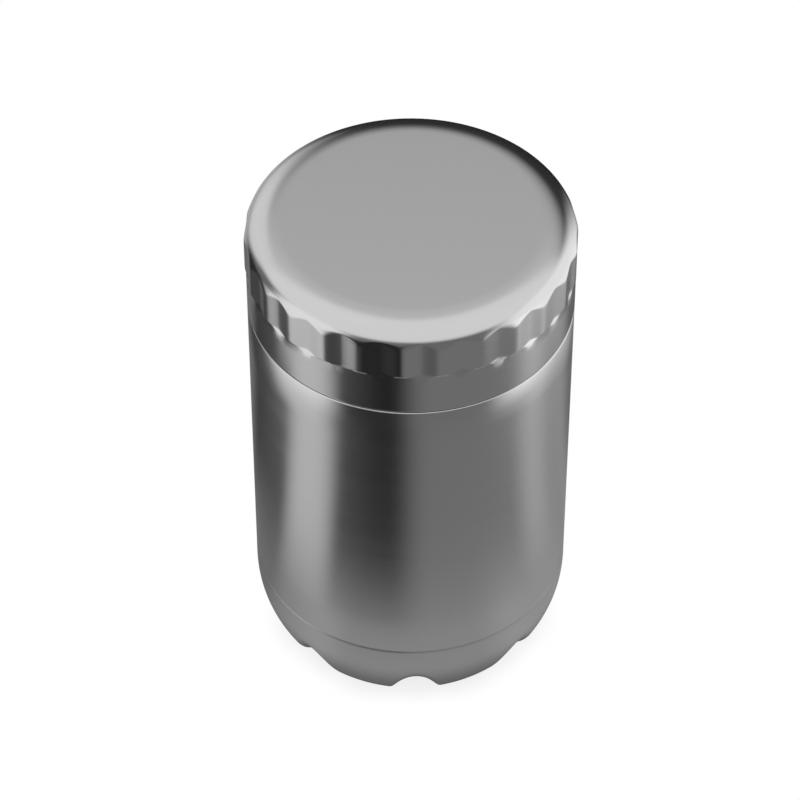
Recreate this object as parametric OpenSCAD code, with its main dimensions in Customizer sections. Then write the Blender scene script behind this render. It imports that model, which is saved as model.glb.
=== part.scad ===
// Insulated food jar: a double-walled steel vessel standing on a scalloped base cup,
// closed by a screw lid with a fluted rim.
// Millimetres. The origin is the centre of the base, +Z is up and -Y is the front.

/* [Overall] */
// Outside diameter of the vessel and the lid
jar_d = 98; // [90:1:108]
// Height with the lid screwed down
jar_h = 165; // [148:1:182]
// Height of the lid from its lower edge to its top
lid_h = 31.6; // [31:0.2:36]
// Height of the seam between the base cup and the shell
base_h = 27.4; // [26.4:0.2:31]
// Gap left at the seam under the lid
lid_gap = 0.4; // [0.3:0.1:0.6]
// Gap left at the seam above the base cup
cup_gap = 0.2; // [0.1:0.1:0.4]

/* [Sheet steel] */
// Thickness of the shell, the base cup, the inner vessel and the lid cap
sheet = 0.8; // [0.6:0.1:0.9]
// Radius of the shell's upper edge
shell_edge_r = 0.5; // [0.3:0.1:0.7]
// Thickness of the copper foil
foil_t = 0.3; // [0.2:0.1:0.4]
// Wall of the threaded neck sleeve
neck_wall = 0.9; // [0.7:0.1:1.2]

/* [Neck and thread] */
// Height of the rim above the shoulder
neck_h = 15; // [14.6:0.2:16.4]
// Rise of the lid in one full turn
lead = 9; // [8.6:0.1:9.4]
// Radial height of the threads
thread_h = 1.5; // [1.2:0.1:1.6]
// Width of a thread at its root
thread_root = 2.8; // [2.4:0.1:3]
// Width of a thread at its crest
thread_tip = 1.2; // [0.8:0.1:1.4]
// Clearance from a thread's crest to the wall across from it
thread_gap = 0.5; // [0.4:0.05:0.7]

/* [Lid cap] */
// Width of the rounding around the flat disc on top
crown_w = 11.5; // [10.5:0.2:12.5]
// Height of that rounding
crown_h = 7.6; // [7:0.2:9]
// Squareness of that rounding, where 2 is an ellipse
crown_p = 2.3; // [2:0.1:2.6]
// Number of flutes around the rim
flutes = 26; // [20:1:28]
// Turn of the first ridge between two flutes, from the front
flute_phase = -3.6; // [-6.9:0.1:6.9]
// Height of the ridges between the flutes, over the face of the band
ridge_rise = 0.4; // [0.2:0.1:0.6]
// Height taken off the sharp edge of each ridge
ridge_blunt = 0.1; // [0.05:0.05:0.2]
// Depth of each flute along its middle, under the face of the band
flute_depth = 0.4; // [0.2:0.1:0.6]
// Height over which a flute runs out at its lower end
flute_run = 1.8; // [1:0.2:2.4]
// Height of the plain band under the flutes
band_h = 14; // [13:0.1:16]

/* [Lid liner and plug] */
// Wall of the liner behind the thread
liner_wall = 2.4; // [2:0.1:3]
// Wall of the plug
plug_wall = 1.6; // [1.2:0.1:2]
// Gap between the plug and the mouth, where the seal's lip goes
plug_gap = 1.4; // [1.2:0.1:1.8]
// Reach of the plug below the rim
plug_reach = 8; // [7:0.2:10]
// Thickness of the web that crosses over the rim
web_t = 2; // [1.4:0.1:2.4]
// Thickness of the plug's bottom plate
plate_t = 1.6; // [1.2:0.1:2]
// Thickness of the seal's flange
seal_t = 1.3; // [1:0.1:1.8]

/* [Base cup] */
// Height of the base cup's straight wall, above the base's curve
cup_wall_h = 4; // [3.4:0.2:5]
// Reach of the shell's lower end below that wall
spigot_reach = 1; // [0:0.1:1.2]
// Radius of the toe between the base's long curve and the foot ring
toe_r = 5.45; // [4:0.05:7]
// Number of valleys pressed into the base's corner
valleys = 8; // [6:1:9]
// Turn of the first valley from the front
valley_phase = 2.1; // [-10:0.1:10]
// Radius of each valley
valley_r = 9.5; // [8.5:0.5:10.5]
// Distance from the side, at the foot, to where a valley's floor line starts
valley_in = 13.5; // [12.5:0.2:14.5]
// Rise angle of a valley's floor line
valley_rise = 49; // [47:0.5:51]
// Width of the flat foot ring's inner part, inside the valleys
foot_w = 12; // [9:0.5:14]
// Depth of the hollow inside the foot ring
base_hollow = 1.5; // [1:0.1:2]

/* [Vacuum space] */
// Space between the two bottoms
vacuum_gap = 6.8; // [6:0.2:8]
// Radius of the inner vessel's lower corner
vessel_corner = 10; // [8:0.5:12]
// Distance of the foil's two ends from the vessel's bottom and the shoulder
foil_clear = 13; // [12:0.5:16]
// Open slit between the foil's edges
foil_slit = 3; // [2:0.5:5]
// Radius of the well around the pump-out hole
well_r = 8; // [7:0.5:10]
// Depth of that well
well_h = 1.6; // [1.2:0.1:2]
// Radius of the pump-out hole
pump_r = 1.3; // [1:0.1:1.6]
// Radius of the getter pill
getter_r = 6; // [5:0.5:7]
// Height of the getter pill
getter_h = 2.4; // [2:0.1:3]
// Width of the getter's strap
strap_w = 4; // [3:0.5:5]
// Thickness of the getter's strap
strap_t = 0.4; // [0.3:0.1:0.6]

/* [Hidden] */
$fn = 96;
starts = 2;                             // threads that run side by side
touch = 0.05;                           // clearance between pieces that are seated
slack = 0.3;                            // clearance between pieces that aren't

// radii, from the outside in
R = jar_d / 2;
spigot_r = R - sheet - touch;           // shell's lower end, inside the base cup
ridge_r = R + ridge_rise;               // ridges between the lid's flutes
liner_r = R - sheet - flute_depth - 2 * slack;
bore_r = liner_r - liner_wall;          // liner's bore, between threads
male_crest = bore_r - thread_gap;
neck_r = male_crest - thread_h;         // neck sleeve, between threads
female_crest = neck_r + thread_gap;
vessel_r = neck_r - neck_wall;          // outside of the inner vessel
mouth_r = vessel_r - sheet;
plug_r = mouth_r - plug_gap;
foot_in_r = R - valley_in - foot_w + 3 * touch;   // inner edge of the foot ring

// heights of the vessel
base_curve_h = base_h - cup_wall_h;     // where the base starts to curve in
seam_z = jar_h - lid_h;                 // lower edge of the lid
shoulder_z = seam_z - lid_gap;
rim_z = shoulder_z + neck_h;
spigot_z = base_curve_h - spigot_reach; // lower end of the shell
flange_h = 3 * sheet;                   // vacuum bottom's flange above the spigot's end
vessel_z = spigot_z + flange_h + slack; // underside of the inner vessel
vacuum_z = vessel_z - vacuum_gap - sheet;   // underside of the vacuum bottom

// heights of the lid
web_z = rim_z + seal_t + 2 * touch;     // underside of the liner's web
plug_z = rim_z - plug_reach;            // lower end of the plug's wall
band_z = seam_z + band_h;               // lower end of the flutes

// threads
pitch = lead / starts;
thread_sink = 0.4;                      // part of a thread inside its own wall
thread_step = 10;                       // degrees between sections
thread_low = shoulder_z + thread_root;
thread_high = thread_low + lead;

// ---------------------------------------------------------------- shapes

// points of an arc about [x, y], from angle a to angle b
function arc(x, y, r, a, b, n = 8) =
    [for (i = [0 : n]) [x + r * cos(a + (b - a) * i / n), y + r * sin(a + (b - a) * i / n)]];

// turns a half profile about the jar's axis
module turned(profile) {
    rotate_extrude(angle = 360) polygon(profile);
}

// a ring of rectangular section
module ring(inner, outer, low, high) {
    turned([[inner, low], [outer, low], [outer, high], [inner, high]]);
}

// a point at radius r, 'up' above the helix that passes through height z
function helix_point(r, z, up) =
    let (a = 360 * z / lead) [r * cos(a), r * sin(a), z + up];

// share of the full height that a thread has at t, where t runs from 0 to 1
function fade(t) = min(1, 9 * min(t, 1 - t));

// side by side helical ribs on a wall, from its radius to the radius of their crests
module thread(wall, crest, low, high, shift = 0) {
    out = sign(crest - wall);
    n = ceil((high - low) / lead * 360 / thread_step);
    points = [for (i = [0 : n])
        let (t = i / n, z = low + (high - low) * t, f = fade(t),
             foot = wall - out * thread_sink,
             tip = wall + (crest - wall) * f - out * (1 - f) * thread_sink / 2)
        each [helix_point(foot, z, -thread_root / 2), helix_point(tip, z, -thread_tip / 2),
              helix_point(tip, z, thread_tip / 2), helix_point(foot, z, thread_root / 2)]];
    sides = [for (i = [0 : n - 1], j = [0 : 3])
        let (a = 4 * i + j, b = 4 * i + (j + 1) % 4)
        each [[a, b, b + 4], [a, b + 4, a + 4]]];
    ends = [[0, 3, 2], [0, 2, 1], [4 * n, 4 * n + 1, 4 * n + 2], [4 * n, 4 * n + 2, 4 * n + 3]];
    faces = concat(sides, ends);
    for (k = [0 : starts - 1])
        rotate([0, 0, 360 * (k / starts - shift / lead)])
            polyhedron(points = points,
                       faces = out > 0 ? faces : [for (f = faces) [f[2], f[1], f[0]]]);
}

// ---------------------------------------------------------------- base cup

// the base is a long arc from the side, then a toe arc down to the foot ring
toe_a = 35;
base_r = (base_curve_h - toe_r * (1 - sin(toe_a))) / sin(toe_a);
foot_r = R - base_r + (base_r - toe_r) * cos(toe_a);

// half outline of the base, taken in by 'inset'
function base_outline(inset, top) = concat(
    [[0, inset], [foot_r, inset]],
    arc(foot_r, toe_r, toe_r - inset, -90, -toe_a, 6),
    arc(R - base_r, base_curve_h, base_r - inset, -toe_a, 0, 10),
    [[R - inset, top], [0, top]]);

// the valleys, each a round bar lying across the base's corner
module valley_bars(grow) {
    for (k = [0 : valleys - 1])
        rotate([0, 0, valley_phase + 360 * k / valleys - 90])
            translate([R - valley_in, 0, 0])
                rotate([0, 90 - valley_rise, 0])
                    translate([valley_r, 0, -R / 2])
                        cylinder(r = valley_r + grow, h = R);
}

module base_cup() {
    top = base_h - cup_gap;
    color("#c9c9c8") difference() {
        turned(base_outline(0, top));
        difference() {
            turned(base_outline(sheet, jar_h));
            valley_bars(sheet);
            cylinder(r = foot_in_r + sheet, h = base_hollow + sheet);
        }
        valley_bars(0);
        translate([0, 0, -base_hollow]) cylinder(r = foot_in_r, h = 2 * base_hollow);
    }
}

// ---------------------------------------------------------------- vessel

module outer_shell() {
    e = shell_edge_r;
    color("#c9c9c8") turned(concat(
        [[spigot_r, spigot_z], [spigot_r, base_h], [R, base_h]],
        arc(R - e, shoulder_z - e, e, 0, 90, 6),
        [[neck_r, shoulder_z], [neck_r, shoulder_z - sheet],
         [R - sheet, shoulder_z - sheet], [R - sheet, base_h + sheet], [spigot_r - sheet, base_h + sheet],
         [spigot_r - sheet, spigot_z]]));
}

module neck_sleeve() {
    seat = 4 * neck_wall;               // part of the sleeve below the shoulder
    color("#cfcfce") {
        ring(vessel_r, neck_r, shoulder_z - seat, rim_z - sheet);
        thread(neck_r, male_crest, thread_low, thread_high);
    }
}

// half outline of the inner vessel, taken in by 'inset'
function vessel_outline(inset) = concat(
    [[0, vessel_z + inset]],
    arc(vessel_r - vessel_corner, vessel_z + vessel_corner, vessel_corner - inset, -90, 0, 8));

module inner_vessel() {
    lip = sheet / 2;                    // radius of the rolled lip
    outside = vessel_outline(0);
    inside = vessel_outline(sheet);
    color("#d6d6d5") turned(concat(
        outside,
        [[vessel_r, rim_z - sheet]],
        arc(neck_r - lip, rim_z - lip, lip, -90, 90, 6),
        arc(mouth_r + lip, rim_z - lip, lip, 90, 180, 4),
        [for (i = [len(inside) - 1 : -1 : 0]) inside[i]]));
}

module foil_wrap() {
    inner = vessel_r + 2 * touch;
    low = vessel_z + foil_clear;
    high = shoulder_z - foil_clear;
    color("#b87342") difference() {
        ring(inner, inner + foil_t, low, high);
        translate([inner - foil_t, -foil_slit / 2, low - foil_t])
            cube([3 * foil_t, foil_slit, high - low + 2 * foil_t]);
    }
}

// ---------------------------------------------------------------- vacuum closure

module vacuum_bottom() {
    outer = spigot_r - sheet;
    corner = spigot_z - vacuum_z;
    inner_wall = [outer - sheet, spigot_z + flange_h];
    color("#b9b9b8") turned(concat(
        [[pump_r, vacuum_z + well_h], [well_r, vacuum_z + well_h],
         [well_r + well_h, vacuum_z]],
        arc(outer - corner, vacuum_z + corner, corner, -90, 0, 6),
        [[outer, spigot_z + flange_h], inner_wall],
        arc(outer - corner, vacuum_z + corner, corner - sheet, 0, -90, 6),
        [[well_r + well_h + sheet / 2, vacuum_z + sheet],
         [well_r + sheet / 2, vacuum_z + well_h + sheet], [pump_r, vacuum_z + well_h + sheet]]));
}

module seal_bead() {
    head_r = well_r / 2;
    color("#8f8f8c") turned([
        [0, vacuum_z + well_h / 3], [head_r * 0.7, vacuum_z + well_h / 3],
        [head_r, vacuum_z + well_h * 0.7], [head_r, vacuum_z + well_h], [pump_r, vacuum_z + well_h],
        [pump_r, vacuum_z + well_h + sheet], [0, vacuum_z + well_h + sheet]]);
}

getter_x = (well_r + spigot_r) / 2;     // half way out between the well and the flange
getter_z = vacuum_z + sheet;

module getter() {
    dish = getter_h / 4;
    color("#5c5c5e") translate([getter_x, 0, getter_z]) difference() {
        cylinder(r = getter_r, h = getter_h);
        translate([0, 0, getter_h - dish]) cylinder(r = getter_r * 0.8, h = 2 * dish);
    }
}

module getter_clip() {
    reach = getter_r + 4 * touch;
    height = getter_h + 2 * touch;
    color("#a5a5a4") translate([getter_x, -strap_w / 2, getter_z]) {
        difference() {
            translate([-reach - strap_t, 0, 0])
                cube([2 * (reach + strap_t), strap_w, height + strap_t]);
            translate([-reach, -strap_w / 2, -height]) cube([2 * reach, 2 * strap_w, 2 * height]);
        }
        for (side = [-1, 1])            // feet that are welded to the vacuum bottom
            translate([side * (reach + strap_t) + (side < 0 ? -strap_w : 0), 0, 0])
                cube([strap_w, strap_w, strap_t]);
    }
}

// ---------------------------------------------------------------- lid

// half outline of the lid cap, taken in by 'inset'
function cap_outline(inset, low) = let (foot = band_z + ridge_rise / 2 + inset * tan(22.5)) concat(
    [[0, low], [R - inset, low], [R - inset, foot], [ridge_r - inset, foot + ridge_rise]],
    [for (a = [0 : 7.5 : 90])
        [ridge_r - crown_w + (crown_w - inset) * pow(cos(a), 2 / crown_p),
         jar_h - crown_h + (crown_h - inset) * pow(sin(a), 2 / crown_p)]],
    [[0, jar_h - inset]]);

// the hollows of the flutes: two upright faces each, which meet along the flute's middle
// and run out to the band below
module flute_cuts(grow) {
    face = R - grow;
    ridge = ridge_r + ridge_blunt - grow;
    far = R + crown_w;
    edge = [cos(180 / flutes), sin(180 / flutes)];
    mirrored = [edge[0], -edge[1]];
    for (k = [0 : flutes - 1])
        rotate([0, 0, flute_phase + (k + 0.5) * 360 / flutes - 90]) hull() {
            translate([0, 0, band_z - grow]) linear_extrude(height = touch)
                polygon([[face, -far * edge[1]], [far, -far * edge[1]],
                         [far, far * edge[1]], [face, far * edge[1]]]);
            translate([0, 0, band_z + flute_run - grow]) linear_extrude(height = jar_h - band_z)
                polygon([[face - flute_depth, 0], ridge * mirrored, far * mirrored,
                         far * edge, ridge * edge]);
        }
}

module lid_cap() {
    color("#c9c9c8") difference() {
        turned(cap_outline(0, seam_z));
        difference() {
            turned(cap_outline(sheet, seam_z - sheet));
            flute_cuts(sheet);
        }
        flute_cuts(0);
    }
}

module lid_liner() {
    low = seam_z + lid_gap;
    flange_r = R - sheet - 2 * touch;   // centres the liner in the cap
    flange_t = web_t;
    bevel = thread_gap;                 // lead-in at the mouth of the bore
    bead = plug_gap / 4;                // keeps the seal on the plug
    color("#3a3a3c") {
        turned([
            [bore_r + bevel, low], [flange_r, low], [flange_r, low + flange_t],
            [liner_r, low + flange_t], [liner_r, web_z + web_t],
            [plug_r - plug_wall, web_z + web_t], [plug_r - plug_wall, plug_z],
            [plug_r + bead, plug_z], [plug_r + bead, plug_z + 3 * bead],
            [plug_r, plug_z + 4 * bead], [plug_r, web_z], [bore_r, web_z], [bore_r, low + bevel]]);
        thread(bore_r, female_crest, thread_low + thread_gap / 2, thread_high - thread_gap, pitch / 2);
    }
}

module lid_foam() {
    shelf = web_z + web_t + slack;
    top = jar_h - sheet - slack;
    neck = plug_r - plug_wall - slack;
    wide = liner_r - slack;
    bevel = crown_w * 0.6;
    color("#e8e6df") turned([
        [0, plug_z + plate_t + slack], [neck, plug_z + plate_t + slack], [neck, shelf],
        [wide, shelf], [wide, top - bevel], [wide - bevel / 3, top - bevel / 2],
        [wide - bevel, top], [0, top]]);
}

module plug_plate() {
    edge = plate_t / 2;                 // bevel of the plate's lower edge
    spigot = plug_r - plug_wall - touch;
    color("#3a3a3c") turned([
        [0, plug_z - edge], [plug_r - edge, plug_z - edge], [plug_r, plug_z],
        [spigot, plug_z], [spigot, plug_z + plate_t], [0, plug_z + plate_t]]);
}

module lid_gasket() {
    inner = plug_r + 2 * touch;
    flange_r = bore_r - 2 * touch - thread_gap;
    lip_r = mouth_r - slack - touch;
    lip_z = plug_z + plug_gap * 1.6;    // seated on the plug's bead
    wall = (lip_r - inner) * 0.6;
    color("#6e6e70") turned([
        [inner, lip_z], [lip_r, lip_z + wall], [lip_r, lip_z + 2 * wall],
        [inner + wall, lip_z + 3 * wall], [inner + wall, rim_z + touch],
        [flange_r, rim_z + touch], [flange_r, web_z - touch], [inner, web_z - touch]]);
}

// ---------------------------------------------------------------- nodes

base_cup();
outer_shell();
neck_sleeve();
inner_vessel();
foil_wrap();
vacuum_bottom();
seal_bead();
getter();
getter_clip();
lid_gasket();
lid_cap();
lid_liner();
lid_foam();
plug_plate();
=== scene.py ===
from math import atan2, cos, floor, hypot, pi, radians, sin, sqrt

import bmesh
import bpy
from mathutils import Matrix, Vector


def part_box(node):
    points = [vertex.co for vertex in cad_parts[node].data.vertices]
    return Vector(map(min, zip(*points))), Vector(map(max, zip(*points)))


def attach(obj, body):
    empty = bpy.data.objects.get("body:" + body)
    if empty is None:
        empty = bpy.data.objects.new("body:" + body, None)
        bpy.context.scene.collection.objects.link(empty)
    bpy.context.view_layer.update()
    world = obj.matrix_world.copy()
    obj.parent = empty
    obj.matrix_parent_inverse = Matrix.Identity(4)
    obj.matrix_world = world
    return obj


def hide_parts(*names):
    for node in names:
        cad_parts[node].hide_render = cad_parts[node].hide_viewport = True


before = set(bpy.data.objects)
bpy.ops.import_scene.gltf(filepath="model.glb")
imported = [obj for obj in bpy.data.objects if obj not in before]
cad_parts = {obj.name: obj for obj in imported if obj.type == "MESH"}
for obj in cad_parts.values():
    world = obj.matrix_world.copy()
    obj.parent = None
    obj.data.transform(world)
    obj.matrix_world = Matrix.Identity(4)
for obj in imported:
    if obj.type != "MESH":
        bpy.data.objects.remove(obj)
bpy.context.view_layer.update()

# ---------------------------------------------------------------- sizes, in metres

MM = 0.001


def heights(node):
    """The lowest and the highest Z of a CAD node."""
    low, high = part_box(node)
    return low[2], high[2]


SEAM_Z, JAR_TOP = heights("lid_cap")            # lower edge and top of the lid
SPIGOT_Z, SHOULDER_Z = heights("outer_shell")
CUP_TOP = heights("base_cup")[1]
VESSEL_Z, RIM_Z = heights("inner_vessel")
SLEEVE_Z = heights("neck_sleeve")[0]
LINER_Z = heights("lid_liner")[0]
PLATE_Z, PLATE_TOP = heights("plug_plate")
SEAL_Z, SEAL_TOP = heights("lid_gasket")

SHEET = 0.8 * MM
TOUCH = 0.05 * MM                               # clearance between pieces that are seated
SLACK = 0.3 * MM                                # clearance between pieces that aren't

JAR_R = 49 * MM
SPIGOT_R = JAR_R - SHEET - TOUCH
LINER_R = 47.2 * MM
BORE_R = 44.8 * MM
MALE_CREST = 44.3 * MM
FEMALE_CREST = 43.3 * MM
NECK_R = 42.8 * MM
VESSEL_R = 41.9 * MM
MOUTH_R = 41.1 * MM
PLUG_R = 39.7 * MM
PLUG_WALL = 1.6 * MM

AXIS = (0, 0, 1)
ORIGIN = (0, 0, 0)

# ---------------------------------------------------------------- mesh helpers

WELD = 0.5e-6                                   # vertices nearer than this become one
SLIVER = 0.1e-6                                 # and edges shorter than this are dissolved
SHARP = radians(40)                             # a turn between faces that shows as an edge
SECTOR_STEPS = 8


def finish_mesh(bm, name, material, body, slot, *nodes):
    """Turns a bmesh into a piece that rides on a body and stands for its CAD nodes."""
    bmesh.ops.remove_doubles(bm, verts=bm.verts, dist=WELD)
    bmesh.ops.recalc_face_normals(bm, faces=bm.faces)
    for face in bm.faces:
        face.smooth = True
    for edge in bm.edges:
        edge.smooth = edge.calc_face_angle(0) < SHARP
    mesh = bpy.data.meshes.new(name)
    bm.to_mesh(mesh)
    bm.free()
    obj = bpy.data.objects.new(name, mesh)
    bpy.context.scene.collection.objects.link(obj)
    mesh.materials.append(material)
    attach(obj, body)
    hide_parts(*nodes)
    return obj


def on_circle(x, z, radius, angles):
    """Points (radius, height) on a circle about (x, z), at angles in degrees."""
    return [(x + radius * cos(radians(a)), z + radius * sin(radians(a))) for a in angles]


def arc(x, z, radius, start, end, steps):
    """Such points, evenly spaced from one angle to another."""
    return on_circle(x, z, radius, [start + (end - start) * i / steps for i in range(steps + 1)])


def line_to(points, end, steps=1):
    """Runs an outline on in a straight line, with evenly spaced points."""
    (x0, z0), (x1, z1) = points[-1], end
    shares = [i / steps for i in range(1, steps + 1)]
    points.extend([(x0 + (x1 - x0) * s, z0 + (z1 - z0) * s) for s in shares])


def lathe(bm, profile, steps, closed=True):
    """Spins a half profile a full turn about the jar's axis, first a sector and then the rest."""
    verts = [bm.verts.new((r, 0, z)) for r, z in profile]
    pairs = list(zip(verts, verts[1:]))
    if closed:
        pairs.append((verts[-1], verts[0]))
    edges = [bm.edges.new(pair) for pair in pairs]
    sectors = steps // SECTOR_STEPS
    turn = 2 * pi / sectors
    bmesh.ops.spin(bm, geom=verts + edges, cent=ORIGIN, axis=AXIS, angle=turn, steps=SECTOR_STEPS)
    sector = bm.verts[:] + bm.edges[:] + bm.faces[:]
    bmesh.ops.spin(bm, geom=sector, cent=ORIGIN, axis=AXIS, angle=2 * pi - turn,
                   steps=sectors - 1, use_duplicate=True)
    bmesh.ops.remove_doubles(bm, verts=bm.verts, dist=WELD)
    bmesh.ops.dissolve_degenerate(bm, edges=bm.edges, dist=SLIVER)


def join_mesh(bm, other):
    """Adds another bmesh's faces to this one."""
    scrap = bpy.data.meshes.new("scrap")
    other.to_mesh(scrap)
    other.free()
    bm.from_mesh(scrap)
    bpy.data.meshes.remove(scrap)


def pressed_sheet(outline, press, steps):
    """A pressed sheet: its outer face, a coarser inner one, and the rim that joins them."""
    bm = bmesh.new()
    lathe(bm, outline(0, 1), steps, closed=False)
    press(bm, 0)
    inner = bmesh.new()
    lathe(inner, outline(SHEET, 2), steps, closed=False)
    press(inner, SHEET)
    join_mesh(bm, inner)
    bmesh.ops.bridge_loops(bm, edges=[edge for edge in bm.edges if edge.is_boundary])
    return bm


def smooth_min(a, b, width):
    """The lower of two values, rounded off where they are within 'width' of each other."""
    h = max(width - abs(a - b), 0) / width
    return min(a, b) - h * h * width / 4


def smooth_max(a, b, width):
    """The higher of two values, rounded off in the same way."""
    return -smooth_min(-a, -b, width)


def smooth_step(value, low, high):
    """Goes smoothly from 0 to 1 as a value goes from low to high."""
    t = min(max((value - low) / (high - low), 0), 1)
    return t * t * (3 - 2 * t)


# ---------------------------------------------------------------- material helpers


def feed(tree, node, inputs):
    """Links each input that is given as a socket, and sets the others."""
    for key, value in inputs.items():
        if isinstance(value, bpy.types.NodeSocket):
            tree.links.new(value, node.inputs[key])
        else:
            node.inputs[key].default_value = value


def add(tree, kind, inputs=None, **settings):
    """Adds a node with its settings and its inputs."""
    made = tree.nodes.new("ShaderNode" + kind)
    for key, value in settings.items():
        setattr(made, key, value)
    feed(tree, made, inputs or {})
    return made


def math(tree, operation, a, b=0.0, clamp=False):
    return add(tree, "Math", {0: a, 1: b}, operation=operation, use_clamp=clamp).outputs[0]


def remap(tree, value, from_low, from_high, to_low=0.0, to_high=1.0):
    """Goes smoothly from one level to another as a value crosses a range."""
    inputs = {"Value": value, "From Min": from_low, "From Max": from_high,
              "To Min": to_low, "To Max": to_high}
    return add(tree, "MapRange", inputs, interpolation_type="SMOOTHSTEP").outputs["Result"]


def blend(tree, share, a, b):
    """Goes from value a to value b as share goes from 0 to 1."""
    return add(tree, "Mix", {0: share, 2: a, 3: b}, data_type="FLOAT").outputs[0]


def grey(value):
    return (value, value, value, 1)


def grey_socket(tree, value):
    inputs = {"Red": value, "Green": value, "Blue": value}
    return add(tree, "CombineColor", inputs).outputs[0]


def empty_material(name):
    """A material whose only node is its output, and its tree."""
    material = bpy.data.materials.new(name)
    material.use_nodes = True
    tree = material.node_tree
    tree.nodes.clear()
    add(tree, "OutputMaterial", name="output")
    return material, tree


def set_surface(tree, shader_socket):
    feed(tree, tree.nodes["output"], {"Surface": shader_socket})


def new_material(name):
    """A material with a Principled shader, its tree and that shader."""
    material, tree = empty_material(name)
    shader = add(tree, "BsdfPrincipled")
    set_surface(tree, shader.outputs["BSDF"])
    return material, tree, shader


def white_glow(tree, strength):
    return add(tree, "Emission", {"Color": grey(1), "Strength": strength}).outputs["Emission"]


def object_point(tree):
    return add(tree, "TexCoord").outputs["Object"]


def stretched_noise(tree, point, scale, detail=3.0):
    """Noise on a point in metres, with its own fineness along each axis."""
    moved = add(tree, "Mapping", {"Vector": point, "Scale": scale}).outputs[0]
    inputs = {"Vector": moved, "Scale": 1.0, "Detail": detail, "Roughness": 0.6}
    return add(tree, "TexNoise", inputs).outputs["Fac"]


def even_noise(tree, fineness):
    """Noise that is as fine along each axis as along the others."""
    return stretched_noise(tree, object_point(tree), (fineness, fineness, fineness), 2.0)


NOISE_LOW = 0.3                                 # nearly all of a noise lies between these
NOISE_HIGH = 0.7


def vary(tree, noise, middle, spread):
    """A value that follows a noise, by up to 'spread' to either side of a middle."""
    return remap(tree, noise, NOISE_LOW, NOISE_HIGH, middle - spread, middle + spread)


def set_bump(tree, shader, height, distance):
    bump = add(tree, "Bump", {"Height": height, "Distance": distance, "Strength": 1.0})
    feed(tree, shader, {"Normal": bump.outputs["Normal"]})


def axis_distance(tree, point):
    """Distance of a point from the jar's axis, and the point's X and Y."""
    parts = add(tree, "SeparateXYZ", {"Vector": point}).outputs
    square = math(tree, "ADD", math(tree, "MULTIPLY", parts["X"], parts["X"]),
                  math(tree, "MULTIPLY", parts["Y"], parts["Y"]))
    return math(tree, "SQRT", square), parts["X"], parts["Y"]


# ---------------------------------------------------------------- finishes

STEEL_TONE = 0.62
STEEL_RELIEF = 0.0006 * MM
SHEEN_TURN = 0.25                               # of a full turn: highlights are drawn out upwards
BRUSH_SCALE = (25, 25, 2600)                    # long around the jar, fine along it
UNEVEN_SCALE = (12, 12, 160)
BRUSH_SHARE = 0.7                               # of the fine brushing in the grain
METAL_FINENESS = 900
METAL_RELIEF = 0.01 * MM
ROUGHNESS_SPREAD = 0.05
TONE_SPREAD = 0.08                              # as a share of a moulding's tone


def set_steel(tree, shader, grain, roughness, anisotropy, streak, spread):
    """Steel whose tone and sheen vary a little with a grain."""
    tone = vary(tree, grain, STEEL_TONE, streak)
    sheen = math(tree, "ADD", roughness, vary(tree, grain, 0.0, spread))
    tangent = add(tree, "Tangent", direction_type="RADIAL", axis="Z").outputs["Tangent"]
    feed(tree, shader, {"Base Color": grey_socket(tree, tone), "Metallic": 1.0, "Roughness": sheen})
    feed(tree, shader, {"Anisotropic": anisotropy, "Anisotropic Rotation": SHEEN_TURN,
                        "Tangent": tangent})
    set_bump(tree, shader, grain, STEEL_RELIEF)


def brushed_steel(name, roughness, anisotropy, streak, spread):
    """Steel brushed around the jar's axis."""
    material, tree, shader = new_material(name)
    point = object_point(tree)
    lines = stretched_noise(tree, point, BRUSH_SCALE)
    broad = stretched_noise(tree, point, UNEVEN_SCALE, 2.0)
    grain = math(tree, "ADD", math(tree, "MULTIPLY", lines, BRUSH_SHARE),
                 math(tree, "MULTIPLY", broad, 1 - BRUSH_SHARE))
    set_steel(tree, shader, grain, roughness, anisotropy, streak, spread)
    return material


RING_SCALE = 1800.0                             # rings on the lid's disc, per metre of radius
SPUN_R = 39 * MM                                # the disc's rings give way to brushing
BRUSHED_R = 43 * MM                             # between these two radii
SPUN_ROUGHNESS = 0.22
BRUSHED_ROUGHNESS = 0.18
BRUSHED_ANISOTROPY = 0.3
POLE_GUARD = 0.1 * MM                           # keeps a radius from being nought


def cap_steel(name):
    """The lid's steel: a disc with fine spun rings, and brushed flutes and sides."""
    material, tree, shader = new_material(name)
    point = object_point(tree)
    radius, x, y = axis_distance(tree, point)
    divisor = math(tree, "ADD", radius, POLE_GUARD)
    rings = add(tree, "CombineXYZ", {"X": math(tree, "MULTIPLY", radius, RING_SCALE),
                                     "Y": math(tree, "DIVIDE", x, divisor),
                                     "Z": math(tree, "DIVIDE", y, divisor)}).outputs[0]
    spun = add(tree, "TexNoise", {"Vector": rings, "Scale": 1.0, "Detail": 2.0}).outputs["Fac"]
    lines = stretched_noise(tree, point, BRUSH_SCALE)
    side = remap(tree, radius, SPUN_R, BRUSHED_R)
    grain = blend(tree, side, spun, lines)
    roughness = blend(tree, side, SPUN_ROUGHNESS, BRUSHED_ROUGHNESS)
    anisotropy = math(tree, "MULTIPLY", side, BRUSHED_ANISOTROPY)
    set_steel(tree, shader, grain, roughness, anisotropy, streak=0.006, spread=0.012)
    return material


def plain_metal(name, colour, roughness):
    """Metal with a fine, even grain."""
    material, tree, shader = new_material(name)
    grain = even_noise(tree, METAL_FINENESS)
    feed(tree, shader, {"Base Color": colour, "Metallic": 1.0,
                        "Roughness": vary(tree, grain, roughness, ROUGHNESS_SPREAD)})
    set_bump(tree, shader, grain, METAL_RELIEF)
    return material


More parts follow.
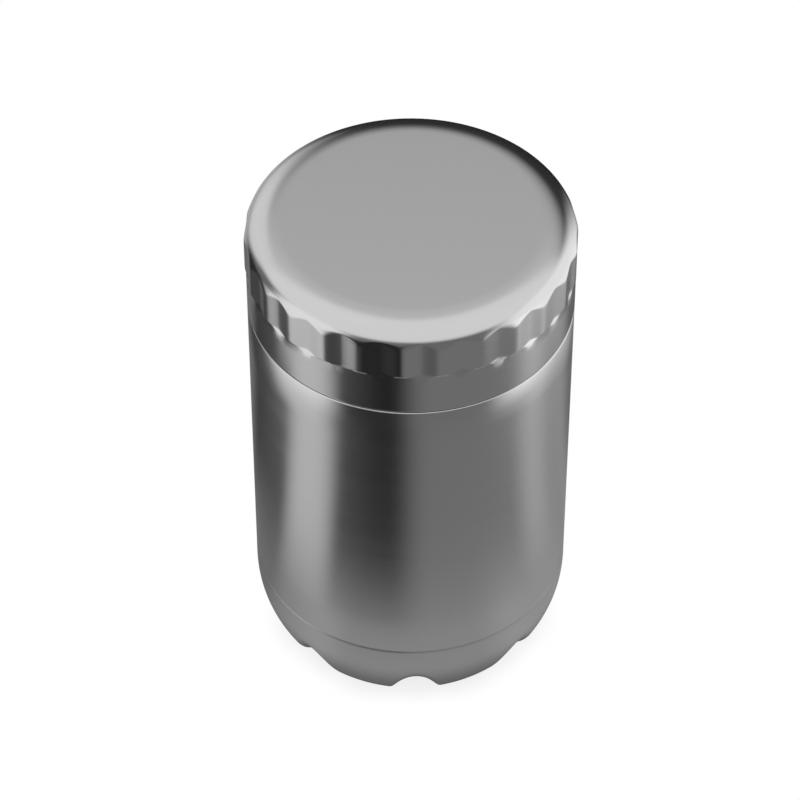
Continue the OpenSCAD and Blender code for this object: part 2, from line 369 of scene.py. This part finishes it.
def moulded(name, tone, roughness, fineness, relief):
    """Plastic, rubber or foam, in a grey that varies a little with a fine grain."""
    material, tree, shader = new_material(name)
    grain = even_noise(tree, fineness)
    level = vary(tree, grain, tone, tone * TONE_SPREAD)
    feed(tree, shader, {"Base Color": grey_socket(tree, level),
                        "Roughness": vary(tree, grain, roughness, ROUGHNESS_SPREAD)})
    set_bump(tree, shader, grain, relief)
    return material


# ---------------------------------------------------------------- lid cap

FLUTES = 26
HALF_FLUTE = pi / FLUTES
FLUTE_PHASE = radians(-3.6)                     # first ridge, from the front
RIDGE_R = JAR_R + 0.4 * MM                      # ridges stand proud of the band below
RIDGE_SOFT = 0.4 * MM
RIDGE_FOOT_H = 0.8 * MM                         # height over which they come out of the band
RIDGE_FOOT_STEPS = 10
VALLEY_DEPTH = 0.4 * MM                         # the flutes' middles lie under the band's face
VALLEY_ROUND = 0.012                            # radians, at the middle of a flute
RUN_H = 1.2 * MM                                # height and depth of the slope on which
RUN_DEPTH = 0.44 * MM                           # a flute's lower end runs out
RUN_SOFT = 0.3 * MM
BAND_Z = SEAM_Z + 14 * MM                       # lower end of the flutes
INNER_RISE = 0.4                                # the inner face's band ends higher, in sheets
HEM = 0.35 * MM
CROWN_IN_R = 38 * MM                            # edge of the flat disc
DISC_RING_R = CROWN_IN_R * 5 / 6                # inside this ring its sheen is flat too
CROWN_H = 7.6 * MM
CROWN_POWER = 2 / 2.3                           # a little squarer than an ellipse
ARCH_SOFT = 0.3 * MM                            # edges where the crown meets the flutes

CAP_STEPS = FLUTES * 24
CAP_CROWDING = 0.7                              # gathers the mesh at ridges and middles
CROWN_FINE_A = 1.25                             # degrees between the rings low on the crown
CROWN_FINE_STEPS = 40
CROWN_TOP_STEPS = 20
POLE_R = 1 * MM                                 # nothing is turned or pressed inside this radius
TINY = 1e-6


def face_r(off, inset):
    """Radius of a flute's flat face, at an angle from the flute's middle."""
    ridge = RIDGE_R + RIDGE_SOFT / 4 - inset
    valley = JAR_R - VALLEY_DEPTH - inset
    rise = (ridge * cos(HALF_FLUTE) - valley) / (ridge * sin(HALF_FLUTE))
    return valley / (cos(off) - rise * sin(off))


def flute_wall(angle, inset):
    """Radius of the fluted wall, where the faces of two flutes meet in a soft ridge."""
    off = abs(((angle - FLUTE_PHASE) / (2 * HALF_FLUTE) % 1 - 0.5) * 2 * HALF_FLUTE)
    here = face_r(sqrt(off * off + VALLEY_ROUND ** 2), inset)
    beyond = face_r(2 * HALF_FLUTE - off, inset)
    return smooth_min(here, beyond, RIDGE_SOFT)


def crowd(angle):
    """Turns a vertex so that the mesh's lines gather at the flutes' ridges and middles."""
    share = (angle - pi / 2) / HALF_FLUTE
    whole = floor(share + TINY)
    part = share - whole
    return FLUTE_PHASE + (whole + part - CAP_CROWDING * sin(2 * pi * part) / (2 * pi)) * HALF_FLUTE


def press_flutes(bm, inset):
    """Moves the cap's vertices in to the flutes' faces, with edges as soft as pressed sheet."""
    for vert in bm.verts:
        x, y, z = vert.co
        r = hypot(x, y)
        if r < POLE_R:
            continue
        angle = crowd(atan2(x, -y))
        if r > CROWN_IN_R:
            cut = smooth_min(r, flute_wall(angle, inset), ARCH_SOFT)
            rise = min(max((z - BAND_Z + inset) / RUN_H, 0), 1)
            end = JAR_R - inset - RUN_DEPTH * rise
            r = min(r, smooth_max(cut, end, RUN_SOFT))
        vert.co = (r * sin(angle), -r * cos(angle), z)


def cap_outline(inset, coarseness):
    """Half outline of the cap from its hem to its top, taken in by 'inset'."""
    out = -1 if inset else 1
    band = JAR_R - inset
    ridge = RIDGE_R - inset
    foot = BAND_Z + INNER_RISE * inset
    shoulder = JAR_TOP - CROWN_H
    points = [(band - out * HEM, SEAM_Z), (band - out * HEM / 4, SEAM_Z + HEM / 4)]
    points.append((band, SEAM_Z + HEM))
    line_to(points, (band, SEAM_Z + 2 * HEM))
    line_to(points, (band, BAND_Z - inset), 4)
    line_to(points, (band, foot), 2)
    for i in range(1, RIDGE_FOOT_STEPS // coarseness + 1):
        share = i * coarseness / RIDGE_FOOT_STEPS
        step_out = (ridge - band) * smooth_step(share, 0, 1)
        points.append((band + step_out, foot + RIDGE_FOOT_H * share))
    line_to(points, (ridge, BAND_Z + RUN_H), 8 // coarseness)
    line_to(points, (ridge, shoulder), 6)
    angles = [CROWN_FINE_A * coarseness * i for i in range(1, CROWN_FINE_STEPS // coarseness + 1)]
    rest = (90 - angles[-1]) / CROWN_TOP_STEPS
    angles += [angles[-1] + rest * i for i in range(1, CROWN_TOP_STEPS + 1)]
    for a in angles:
        across = max(cos(radians(a)), 0) ** CROWN_POWER
        up = sin(radians(a)) ** CROWN_POWER
        points.append((CROWN_IN_R + (ridge - CROWN_IN_R) * across, shoulder + (CROWN_H - inset) * up))
    line_to(points, (DISC_RING_R, JAR_TOP - inset))
    line_to(points, (0, JAR_TOP - inset))
    return points


def make_cap(material):
    """The pressed steel cap, one wall with flutes that show on both of its sides."""
    bm = pressed_sheet(cap_outline, press_flutes, CAP_STEPS)
    return finish_mesh(bm, "fluted_cap", material, "lid", "lid_steel", "lid_cap")


# ---------------------------------------------------------------- base cup

VALLEYS = 8
VALLEY_PHASE = radians(2.1)
VALLEY_R = 9.5 * MM
VALLEY_IN = 13.5 * MM                           # from the side in to where its floor line starts
VALLEY_RISE = radians(49)                       # slope of that line
VALLEY_SOFT = 1.3 * MM                          # rounding of the valleys' shoulders
VALLEY_CLEAR = 2 * MM                           # around the hollow, nothing is pressed
CUP_GAP = 0.2 * MM                              # the cup's edge lies this far under its seam's height
CUP_WALL_H = 4 * MM
CUP_LIP = 0.1 * MM
TOE_R = 5.45 * MM
TOE_A = 35.0
BASE_CURVE_H = CUP_TOP + CUP_GAP - CUP_WALL_H   # where the base starts to curve in
BASE_R = (BASE_CURVE_H - TOE_R * (1 - sin(radians(TOE_A)))) / sin(radians(TOE_A))
FOOT_R = JAR_R - BASE_R + (BASE_R - TOE_R) * cos(radians(TOE_A))
FOOT_W = 12 * MM
FOOT_IN_R = JAR_R - VALLEY_IN - FOOT_W + 3 * TOUCH
FOOT_BEND = 0.4 * MM
HOLLOW = 1.5 * MM
BASE_STEPS = VALLEYS * 68


def press_valleys(bm, inset):
    """Pushes the valleys into the base's corner, square to each valley's floor line."""
    pitch = 2 * pi / VALLEYS
    lean = (-sin(VALLEY_RISE), cos(VALLEY_RISE))
    reach = VALLEY_R + inset
    for vert in bm.verts:
        x, y, z = vert.co
        r = hypot(x, y)
        if r < FOOT_IN_R + VALLEY_CLEAR:
            continue
        angle = atan2(x, -y) - VALLEY_PHASE
        middle = round(angle / pitch) * pitch
        side = r * sin(angle - middle)
        out = r * cos(angle - middle)
        depth = (out - JAR_R + VALLEY_IN) * lean[0] + z * lean[1]
        bar = sqrt(max(reach ** 2 - side ** 2, 0)) - max(abs(side) - reach, 0) - VALLEY_R
        move = smooth_max(depth, bar, VALLEY_SOFT) - depth
        out += move * lean[0]
        z += move * lean[1]
        turn = middle + VALLEY_PHASE
        vert.co = (out * sin(turn) + side * cos(turn), side * sin(turn) - out * cos(turn), z)


def base_outline(inset, coarseness):
    """Half outline of the base cup from its centre to its upper edge, taken in by 'inset'."""
    out = -1 if inset else 1
    wall = JAR_R - inset
    roof = HOLLOW + inset
    inner_r = FOOT_IN_R + inset
    points = [(0, roof)]
    line_to(points, (inner_r - FOOT_BEND, roof), 4)
    points += arc(inner_r - FOOT_BEND, roof - FOOT_BEND, FOOT_BEND, 90, 0, 4)[1:]
    points += arc(inner_r + FOOT_BEND, inset + FOOT_BEND, FOOT_BEND, 180, 270, 4)
    line_to(points, (FOOT_R, inset), 18 // coarseness)
    points += arc(FOOT_R, TOE_R, TOE_R - inset, -90, -TOE_A, 14 // coarseness)[1:]
    points += arc(JAR_R - BASE_R, BASE_CURVE_H, BASE_R - inset, -TOE_A, 0, 40 // coarseness)[1:]
    line_to(points, (wall, CUP_TOP - CUP_LIP), 3)
    points.append((wall - out * CUP_LIP * 0.3, CUP_TOP - CUP_LIP * 0.3))
    points.append((wall - out * CUP_LIP, CUP_TOP))
    return points


def make_base(material):
    """The base cup, one pressed sheet with its valleys and its foot ring."""
    bm = pressed_sheet(base_outline, press_valleys, BASE_STEPS)
    return finish_mesh(bm, "scalloped_base", material, "vessel", "shell_steel", "base_cup")


# ---------------------------------------------------------------- vessel

SHELL_EDGE = 0.45 * MM
SHELL_EDGE_TURNS = (0, 40, 65, 90)              # degrees, where the edge's facets meet
SHELL_FOOT = CUP_TOP + 0.08 * MM                # lower end of the shell's full width
SHELL_FOOT_EDGE = 0.1 * MM
SHOULDER_RUN = 14 * MM                          # smooth turn of the sheen under the shoulder
SHELL_STEPS = 320
VESSEL_CORNER = 10 * MM
INSIDE_STEPS = 256


def make_shell(material):
    """The outer shell: narrowed lower end, straight wall and shoulder in to the neck."""
    edge = SHELL_EDGE
    bend = SHELL_FOOT_EDGE
    neck_r = NECK_R + TOUCH
    profile = [(SPIGOT_R, SPIGOT_Z), (SPIGOT_R, SHELL_FOOT)]
    profile += arc(JAR_R - bend, SHELL_FOOT + bend, bend, -90, 0, 4)
    line_to(profile, (JAR_R, SHOULDER_Z - edge - SHOULDER_RUN), 6)
    profile += on_circle(JAR_R - edge, SHOULDER_Z - edge, edge, SHELL_EDGE_TURNS)
    line_to(profile, (neck_r, SHOULDER_Z), 3)
    profile += [(neck_r, SHOULDER_Z - SHEET), (JAR_R - SHEET, SHOULDER_Z - SHEET)]
    profile += [(JAR_R - SHEET, SHELL_FOOT + SHEET), (SPIGOT_R - SHEET, SHELL_FOOT + SHEET)]
    profile += [(SPIGOT_R - SHEET, SPIGOT_Z)]
    bm = bmesh.new()
    lathe(bm, profile, SHELL_STEPS)
    return finish_mesh(bm, "brushed_shell", material, "vessel", "shell_steel", "outer_shell")


def make_vessel(material):
    """The inner vessel, with its rounded bottom corner and the rolled lip at its mouth."""
    low = VESSEL_Z + VESSEL_CORNER
    corner_r = VESSEL_R - VESSEL_CORNER
    lip = SHEET / 2
    profile = [(0, VESSEL_Z)]
    line_to(profile, (corner_r, VESSEL_Z), 4)
    profile += arc(corner_r, low, VESSEL_CORNER, -90, 0, 16)[1:]
    profile += [(VESSEL_R, RIM_Z - SHEET)]
    profile += arc(NECK_R - lip, RIM_Z - lip, lip, -90, 90, 10)
    profile += arc(MOUTH_R + lip, RIM_Z - lip, lip, 90, 180, 6)
    line_to(profile, (MOUTH_R, low), 8)
    profile += arc(corner_r, low, VESSEL_CORNER - SHEET, 0, -90, 16)[1:]
    line_to(profile, (0, VESSEL_Z + SHEET), 4)
    bm = bmesh.new()
    lathe(bm, profile, INSIDE_STEPS, closed=False)
    return finish_mesh(bm, "smooth_vessel", material, "vessel", "vessel_steel", "inner_vessel")


# ---------------------------------------------------------------- screw threads

STARTS = 2
LEAD = 9 * MM
THREAD_ROOT = 2.8 * MM                          # width of a rib at its root and at its crest
THREAD_TIP = 1.2 * MM
THREAD_SINK = 0.4 * MM                          # part of a rib inside its own wall
THREAD_GAP = 0.5 * MM                           # from a rib's crest to the wall across from it
THREAD_LOW = SHOULDER_Z + THREAD_ROOT
THREAD_HIGH = THREAD_LOW + LEAD
THREAD_FADE = 0.11                              # share of a rib's length that fades at each end
THREAD_STEPS = 180
FILLET_OUT = 0.1 * MM                           # softening of a rib's foot
FILLET_UP = 0.12 * MM
CREST_IN = 0.3 * MM                             # and of its crest
CREST_UP = 0.1 * MM
CREST_FLAT = 0.25 * MM


def thread_section(wall, crest):
    """A rib's section, as points (radius, height), with a soft foot and a soft crest."""
    out = 1 if crest > wall else -1
    half = [(wall - out * THREAD_SINK, THREAD_ROOT / 2)]
    half += [(wall + out * FILLET_OUT, THREAD_ROOT / 2 - FILLET_UP)]
    half += [(crest - out * CREST_IN, THREAD_TIP / 2 + CREST_UP)]
    half += [(crest, THREAD_TIP / 2 - CREST_FLAT)]
    return [(r, -up) for r, up in half] + half[::-1]


def add_threads(bm, wall, crest, low, high, shift):
    """Rolled ribs that climb a wall, side by side, and fade out at both of their ends."""
    section = thread_section(wall, crest)
    root = section[0][0]
    height = high - low
    turns = height / LEAD
    for start in range(STARTS):
        first = 2 * pi * (start / STARTS - shift / LEAD + low / LEAD)
        rib = bmesh.new()
        verts = [rib.verts.new((r, 0, low + up)) for r, up in section]
        face = rib.faces.new(verts)
        bmesh.ops.spin(rib, geom=[face] + list(face.edges) + verts, cent=ORIGIN, axis=AXIS,
                       dvec=(0, 0, height / THREAD_STEPS), angle=2 * pi * turns,
                       steps=THREAD_STEPS, use_merge=False, use_duplicate=False)
        for vert in rib.verts:
            x, y, z = vert.co
            r = hypot(x, y)
            turn = atan2(y, x) % (2 * pi)
            share = turn / (2 * pi * turns)
            if abs(low + height * (share + 1 / turns) - z) < abs(low + height * share - z):
                share += 1 / turns
            r = root + (r - root) * smooth_step(min(share, 1 - share), 0, THREAD_FADE)
            vert.co = (r * cos(turn + first), r * sin(turn + first), z)
        bmesh.ops.recalc_face_normals(rib, faces=rib.faces)
        join_mesh(bm, rib)


SLEEVE_FIT = 0.02 * MM                          # between the sleeve and the vessel in it


def make_sleeve(material):
    """The neck sleeve with its two outside threads."""
    inner = VESSEL_R + SLEEVE_FIT
    high = RIM_Z - SHEET - SLEEVE_FIT
    profile = [(inner, SLEEVE_Z), (NECK_R, SLEEVE_Z)]
    line_to(profile, (NECK_R, high), 6)
    profile.append((inner, high))
    bm = bmesh.new()
    lathe(bm, profile, INSIDE_STEPS)
    add_threads(bm, NECK_R, MALE_CREST, THREAD_LOW, THREAD_HIGH, 0)
    return finish_mesh(bm, "threaded_neck", material, "vessel", "vessel_steel", "neck_sleeve")


# ---------------------------------------------------------------- lid's inside

WEB_Z = RIM_Z + 1.4 * MM                        # underside of the liner's web
WEB_T = 2 * MM
PLUG_Z = RIM_Z - 8 * MM                         # lower end of the plug's wall
PLUG_BEAD = 0.35 * MM                           # keeps the seal on the plug
LINER_FLANGE_R = JAR_R - SHEET - 2 * TOUCH
LINER_EDGE = 0.3 * MM
SEAL_EDGE = 0.3 * MM
SEAL_WALL_SHARE = 0.6                           # the seal's wall, as a share of its lip's reach
SEAL_STEPS = 192


def make_liner(material):
    """The lid's moulded liner: a threaded bore, a web across the rim and the plug's wall."""
    low = LINER_Z
    top = WEB_Z + WEB_T
    edge = LINER_EDGE
    bead = PLUG_BEAD
    flange_r = LINER_FLANGE_R
    wall_r = PLUG_R - PLUG_WALL
    profile = [(BORE_R + THREAD_GAP, low), (flange_r - edge, low), (flange_r, low + edge)]
    profile += [(flange_r, low + WEB_T), (LINER_R, low + WEB_T), (LINER_R, top)]
    profile += [(wall_r, top), (wall_r, PLUG_Z), (PLUG_R + bead, PLUG_Z)]
    profile += arc(PLUG_R, PLUG_Z + 2 * bead, bead, 0, 60, 4)
    profile += [(PLUG_R, PLUG_Z + 4 * bead), (PLUG_R, WEB_Z - edge), (PLUG_R + edge, WEB_Z)]
    profile += arc(BORE_R - 2 * edge, WEB_Z - 2 * edge, 2 * edge, 90, 0, 5)
    profile += [(BORE_R, low + THREAD_GAP)]
    bm = bmesh.new()
    lathe(bm, profile, INSIDE_STEPS)
    add_threads(bm, BORE_R, FEMALE_CREST, THREAD_LOW + THREAD_GAP / 2, THREAD_HIGH - THREAD_GAP,
                LEAD / STARTS / 2)
    return finish_mesh(bm, "moulded_liner", material, "lid", "liner_plastic", "lid_liner")


def make_plate(material):
    """The plate that closes the plug from below."""
    spigot = PLUG_R - PLUG_WALL - TOUCH
    edge = PLUG_Z - PLATE_Z
    profile = [(0, PLATE_Z)]
    line_to(profile, (PLUG_R - edge, PLATE_Z), 4)
    profile += arc(PLUG_R - edge, PLUG_Z, edge, -90, 0, 6)[1:]
    profile += [(spigot, PLUG_Z), (spigot, PLATE_TOP), (0, PLATE_TOP)]
    bm = bmesh.new()
    lathe(bm, profile, INSIDE_STEPS, closed=False)
    return finish_mesh(bm, "plug_bottom", material, "lid", "liner_plastic", "plug_plate")


def make_gasket(material):
    """The silicone seal: a flange on the rim and a lip inside the mouth."""
    inner = PLUG_R + 2 * TOUCH
    lip_r = MOUTH_R - SLACK - TOUCH
    wall = (lip_r - inner) * SEAL_WALL_SHARE
    edge = SEAL_EDGE
    bend_r = BORE_R - THREAD_GAP - 2 * TOUCH - edge
    rim = RIM_Z + TOUCH
    profile = [(inner, SEAL_Z), (lip_r, SEAL_Z + wall), (lip_r, SEAL_Z + 2 * wall)]
    profile += [(inner + wall, SEAL_Z + 3 * wall), (inner + wall, rim)]
    profile += arc(bend_r, rim + edge, edge, -90, 0, 4)
    profile += arc(bend_r, SEAL_TOP - edge, edge, 0, 90, 4)
    profile += [(inner, SEAL_TOP)]
    bm = bmesh.new()
    lathe(bm, profile, SEAL_STEPS)
    return finish_mesh(bm, "soft_seal", material, "gasket", "gasket_rubber", "lid_gasket")


def dress_node(node, material):
    """Gives a CAD node that stays in use the finish of its slot."""
    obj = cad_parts[node]
    obj.data.materials.clear()
    obj.data.materials.append(material)


# ---------------------------------------------------------------- stage

FLOOR_SIZE = 60
FLOOR_TONE = 0.85
SHADE_REACH = 0.01                              # how far the contact shade spreads
SHADE_LEVEL = 0.84                              # and how dark it gets
SHADE_OPEN = (0.1, 0.8)                         # openness at which it is full, and at which it ends
BACKDROP_R = 25
BACKDROP_H = 40


def hide_from(obj, *rays):
    """Keeps an object out of the sight of some kinds of ray."""
    for ray in rays:
        setattr(obj, "visible_" + ray, False)


def make_floor():
    """A white floor that keeps a faint shadow around the jar's foot."""
    bpy.ops.mesh.primitive_plane_add(size=FLOOR_SIZE, location=ORIGIN)
    ground = bpy.context.object
    ground.name = "floor"
    material, tree, shader = new_material("pale_floor")
    feed(tree, shader, {"Base Color": grey(FLOOR_TONE), "Roughness": 0.9, "Specular IOR Level": 0.0})
    path = add(tree, "LightPath").outputs
    seen = math(tree, "ADD", path["Is Camera Ray"], path["Is Glossy Ray"])
    seen = math(tree, "ADD", seen, path["Is Transmission Ray"], clamp=True)
    near = add(tree, "AmbientOcclusion", {"Distance": SHADE_REACH, "Color": grey(1)}, samples=8)
    shade = remap(tree, near.outputs["AO"], *SHADE_OPEN, SHADE_LEVEL, 1.0)
    both = {0: seen, 1: shader.outputs["BSDF"], 2: white_glow(tree, shade)}
    set_surface(tree, add(tree, "MixShader", both).outputs[0])
    ground.data.materials.append(material)


def make_backdrop():
    """A far white wall that only the camera sees."""
    bpy.ops.mesh.primitive_cylinder_add(radius=BACKDROP_R, depth=BACKDROP_H, vertices=64,
                                        location=ORIGIN)
    wall = bpy.context.object
    wall.name = "backdrop"
    material, tree = empty_material("white_backdrop")
    set_surface(tree, white_glow(tree, 1.0))
    wall.data.materials.append(material)
    hide_from(wall, "diffuse", "glossy", "transmission", "shadow")


# grey cards on the floor: azimuth from the front and the half angles at which each starts
# and is full, in degrees, then the brightness that each adds at the jar's foot, near the
# jar, further out and far from it
CARDS = [
    (-115, 75, 15, -0.17, 0.0, 0.0, 0.0),
    (110, 60, 15, -0.07, 0.0, 0.0, 0.0),
    (-59, 30, 5, 0.08, 0.0, 0.0, 0.0),
    (72, 40, 5, 0.08, 0.0, 0.0, 0.0),
    (38, 48, 33, 0.0, 0.0, 0.0, 0.18),
    (-65, 23, 0, 0.0, 0.60, 0.0, 0.0),
    (-70.5, 29, 0, 0.0, 0.0, 0.61, 0.0),
    (-75, 60, 25, 0.0, 0.045, 0.06, 0.0),
    (-72, 34, 12, 0.0, 0.0, 0.0, 1.08),
    (-146, 26, 7, 0.0, 0.18, 0.15, 0.52),
    (44.5, 56.5, 32.5, 0.0, 0.205, 0.205, 0.0),
    (97, 35, 4, 0.0, 0.30, 0.0, 0.0),
    (100, 34, 4, 0.0, 0.0, 0.28, 0.0),
    (98, 55, 25, 0.0, 0.0, 0.0, 1.2),
    (115, 60, 22, 0.0, 0.0, 0.18, 0.0),
    (143, 38, 14, 0.0, 0.09, 0.0, 0.0),
]
CARD_CONTACT = 0.12                             # brightness right beside the jar's foot
CARD_FOOT = 0.36                                # brightness near it, to which the cards add
CARD_BASE = 0.022                               # and in the three zones further out

# radii between which each of those levels goes over into the next
CARD_ZONES = [(0.038, 0.058), (0.068, 0.118), (0.164, 0.188), (0.215, 0.28)]

CARD_INNER = 0.03
CARD_OUTER = 28.0
CARD_LIFT = 0.1 * MM
CARD_STEPS = 96


def patch_level(tree, closeness, outer, inner, gain):
    """A soft-edged patch: closeness is the cosine of the angle from its middle."""
    return remap(tree, closeness, cos(radians(outer)), cos(radians(inner)), 0.0, gain)


def card_level(tree, point):
    """Brightness of the cards, from the jar's foot out through the zones."""
    radius, x, y = axis_distance(tree, point)
    around = math(tree, "ARCTAN2", x, math(tree, "MULTIPLY", y, -1.0))
    levels = [CARD_FOOT] + [CARD_BASE] * 3
    for azimuth, outer, inner, *gains in CARDS:
        closeness = math(tree, "COSINE", math(tree, "SUBTRACT", around, radians(azimuth)))
        for i, gain in enumerate(gains):
            if gain:
                card = patch_level(tree, closeness, outer, inner, gain)
                levels[i] = math(tree, "ADD", levels[i], card)
    level = CARD_CONTACT
    for (start, full), beyond in zip(CARD_ZONES, levels):
        level = blend(tree, remap(tree, radius, start, full), level, beyond)
    return level


def make_cards():
    """The cards that shape the steel's sheen, out of the camera's sight."""
    bm = bmesh.new()
    lathe(bm, [(CARD_INNER, CARD_LIFT), (CARD_OUTER, CARD_LIFT)], CARD_STEPS, closed=False)
    mesh = bpy.data.meshes.new("studio_cards")
    bm.to_mesh(mesh)
    bm.free()
    cards = bpy.data.objects.new("studio_cards", mesh)
    bpy.context.scene.collection.objects.link(cards)
    material, tree = empty_material("card_tones")
    set_surface(tree, white_glow(tree, card_level(tree, object_point(tree))))
    mesh.materials.append(material)
    hide_from(cards, "camera", "diffuse", "transmission", "shadow")


# side lights: azimuth from the front, elevation, half angles at which each starts and is
# full, in degrees, and brightness
SIDE_LIGHTS = [
    (96, 3, 55, 28, 1.15),
    (-66, 12, 34, 16, 1.08),
    (-145, 12, 29, 13, 0.76),
    (-140, 26, 32, 14, 0.88),
]
SIDE_BASE = 0.03
SKY_FRONT = (0.29, 0.52, 0.18, 0.97)            # where its rise starts and ends, and its two levels
SKY_BEHIND = (0.39, 0.74, 0.03, 0.68)
SKY_TURN = (0.22, 0.48)                         # where the front's sky goes over into the other
TURN_BEND = 0.63                                # takes that place further back towards the sides
TURN_BEND_END = 0.25                            # and no further from here on


def make_world():
    """A soft studio: a large light above, pale lights at the sides, dark in front and behind."""
    world = bpy.data.worlds.new("studio")
    bpy.context.scene.world = world
    world.use_nodes = True
    tree = world.node_tree
    tree.nodes.clear()
    toward = add(tree, "TexCoord").outputs["Generated"]

    def along(direction):
        """How far a ray's direction points along another."""
        inputs = {0: toward, 1: direction}
        return add(tree, "VectorMath", inputs, operation="DOT_PRODUCT").outputs["Value"]

    up = along((0, 0, 1))
    front = remap(tree, up, *SKY_FRONT)
    behind = remap(tree, up, *SKY_BEHIND)
    aside = math(tree, "MINIMUM", math(tree, "ABSOLUTE", along((1, 0, 0))), TURN_BEND_END)
    back = math(tree, "SUBTRACT", along((0, 1, 0)), math(tree, "MULTIPLY", aside, TURN_BEND))
    level = blend(tree, remap(tree, back, *SKY_TURN), front, behind)
    for azimuth, elevation, outer, inner, gain in SIDE_LIGHTS:
        a, e = radians(azimuth), radians(elevation)
        closeness = along((sin(a) * cos(e), -cos(a) * cos(e), sin(e)))
        light = math(tree, "ADD", patch_level(tree, closeness, outer, inner, gain), SIDE_BASE)
        level = math(tree, "MAXIMUM", level, light)
    background = add(tree, "Background", {"Color": grey(1), "Strength": level})
    add(tree, "OutputWorld", {"Surface": background.outputs[0]})


CAMERA_PLACE = (-3.285 * MM, -794.7 * MM, 895.1 * MM)
CAMERA_PITCH = 90 - 45.41                       # degrees from straight down
CAMERA_LENS = 165.54
CAMERA_SENSOR = 36.0
CAMERA_NEAR = 0.01
CAMERA_FAR = 200


def make_camera():
    data = bpy.data.cameras.new("camera")
    data.sensor_width = CAMERA_SENSOR
    data.lens = CAMERA_LENS
    data.clip_start = CAMERA_NEAR
    data.clip_end = CAMERA_FAR
    camera = bpy.data.objects.new("camera", data)
    camera.location = CAMERA_PLACE
    camera.rotation_euler = (radians(CAMERA_PITCH), 0, 0)
    bpy.context.scene.collection.objects.link(camera)
    bpy.context.scene.camera = camera


# ---------------------------------------------------------------- build

bpy.context.scene.view_settings.view_transform = "Standard"

shell_steel = brushed_steel("brushed_shell_steel", roughness=0.24, anisotropy=0.45,
                            streak=0.008, spread=0.02)
vessel_steel = brushed_steel("smooth_vessel_steel", roughness=0.3, anisotropy=0.3,
                             streak=0.01, spread=0.03)
lid_steel = cap_steel("spun_lid_steel")
dark_plastic = moulded("dark_plastic", tone=0.045, roughness=0.45, fineness=1800, relief=0.02 * MM)
seal_rubber = moulded("seal_silicone", tone=0.16, roughness=0.55, fineness=1500, relief=0.01 * MM)
pale_foam = moulded("pale_foam", tone=0.75, roughness=0.9, fineness=700, relief=0.2 * MM)
copper = plain_metal("copper_foil", colour=(0.93, 0.6, 0.45, 1), roughness=0.3)
solder = plain_metal("seal_bead_metal", colour=(0.45, 0.45, 0.43, 1), roughness=0.45)
getter_metal = plain_metal("getter_metal", colour=(0.3, 0.3, 0.31, 1), roughness=0.55)

make_camera()
make_world()
make_floor()
make_backdrop()
make_cards()
make_cap(lid_steel)
make_base(shell_steel)
make_shell(shell_steel)
make_vessel(vessel_steel)
make_sleeve(vessel_steel)
make_liner(dark_plastic)
make_plate(dark_plastic)
make_gasket(seal_rubber)
dress_node("foil_wrap", copper)
dress_node("vacuum_bottom", vessel_steel)
dress_node("seal_bead", solder)
dress_node("getter", getter_metal)
dress_node("getter_clip", vessel_steel)
dress_node("lid_foam", pale_foam)
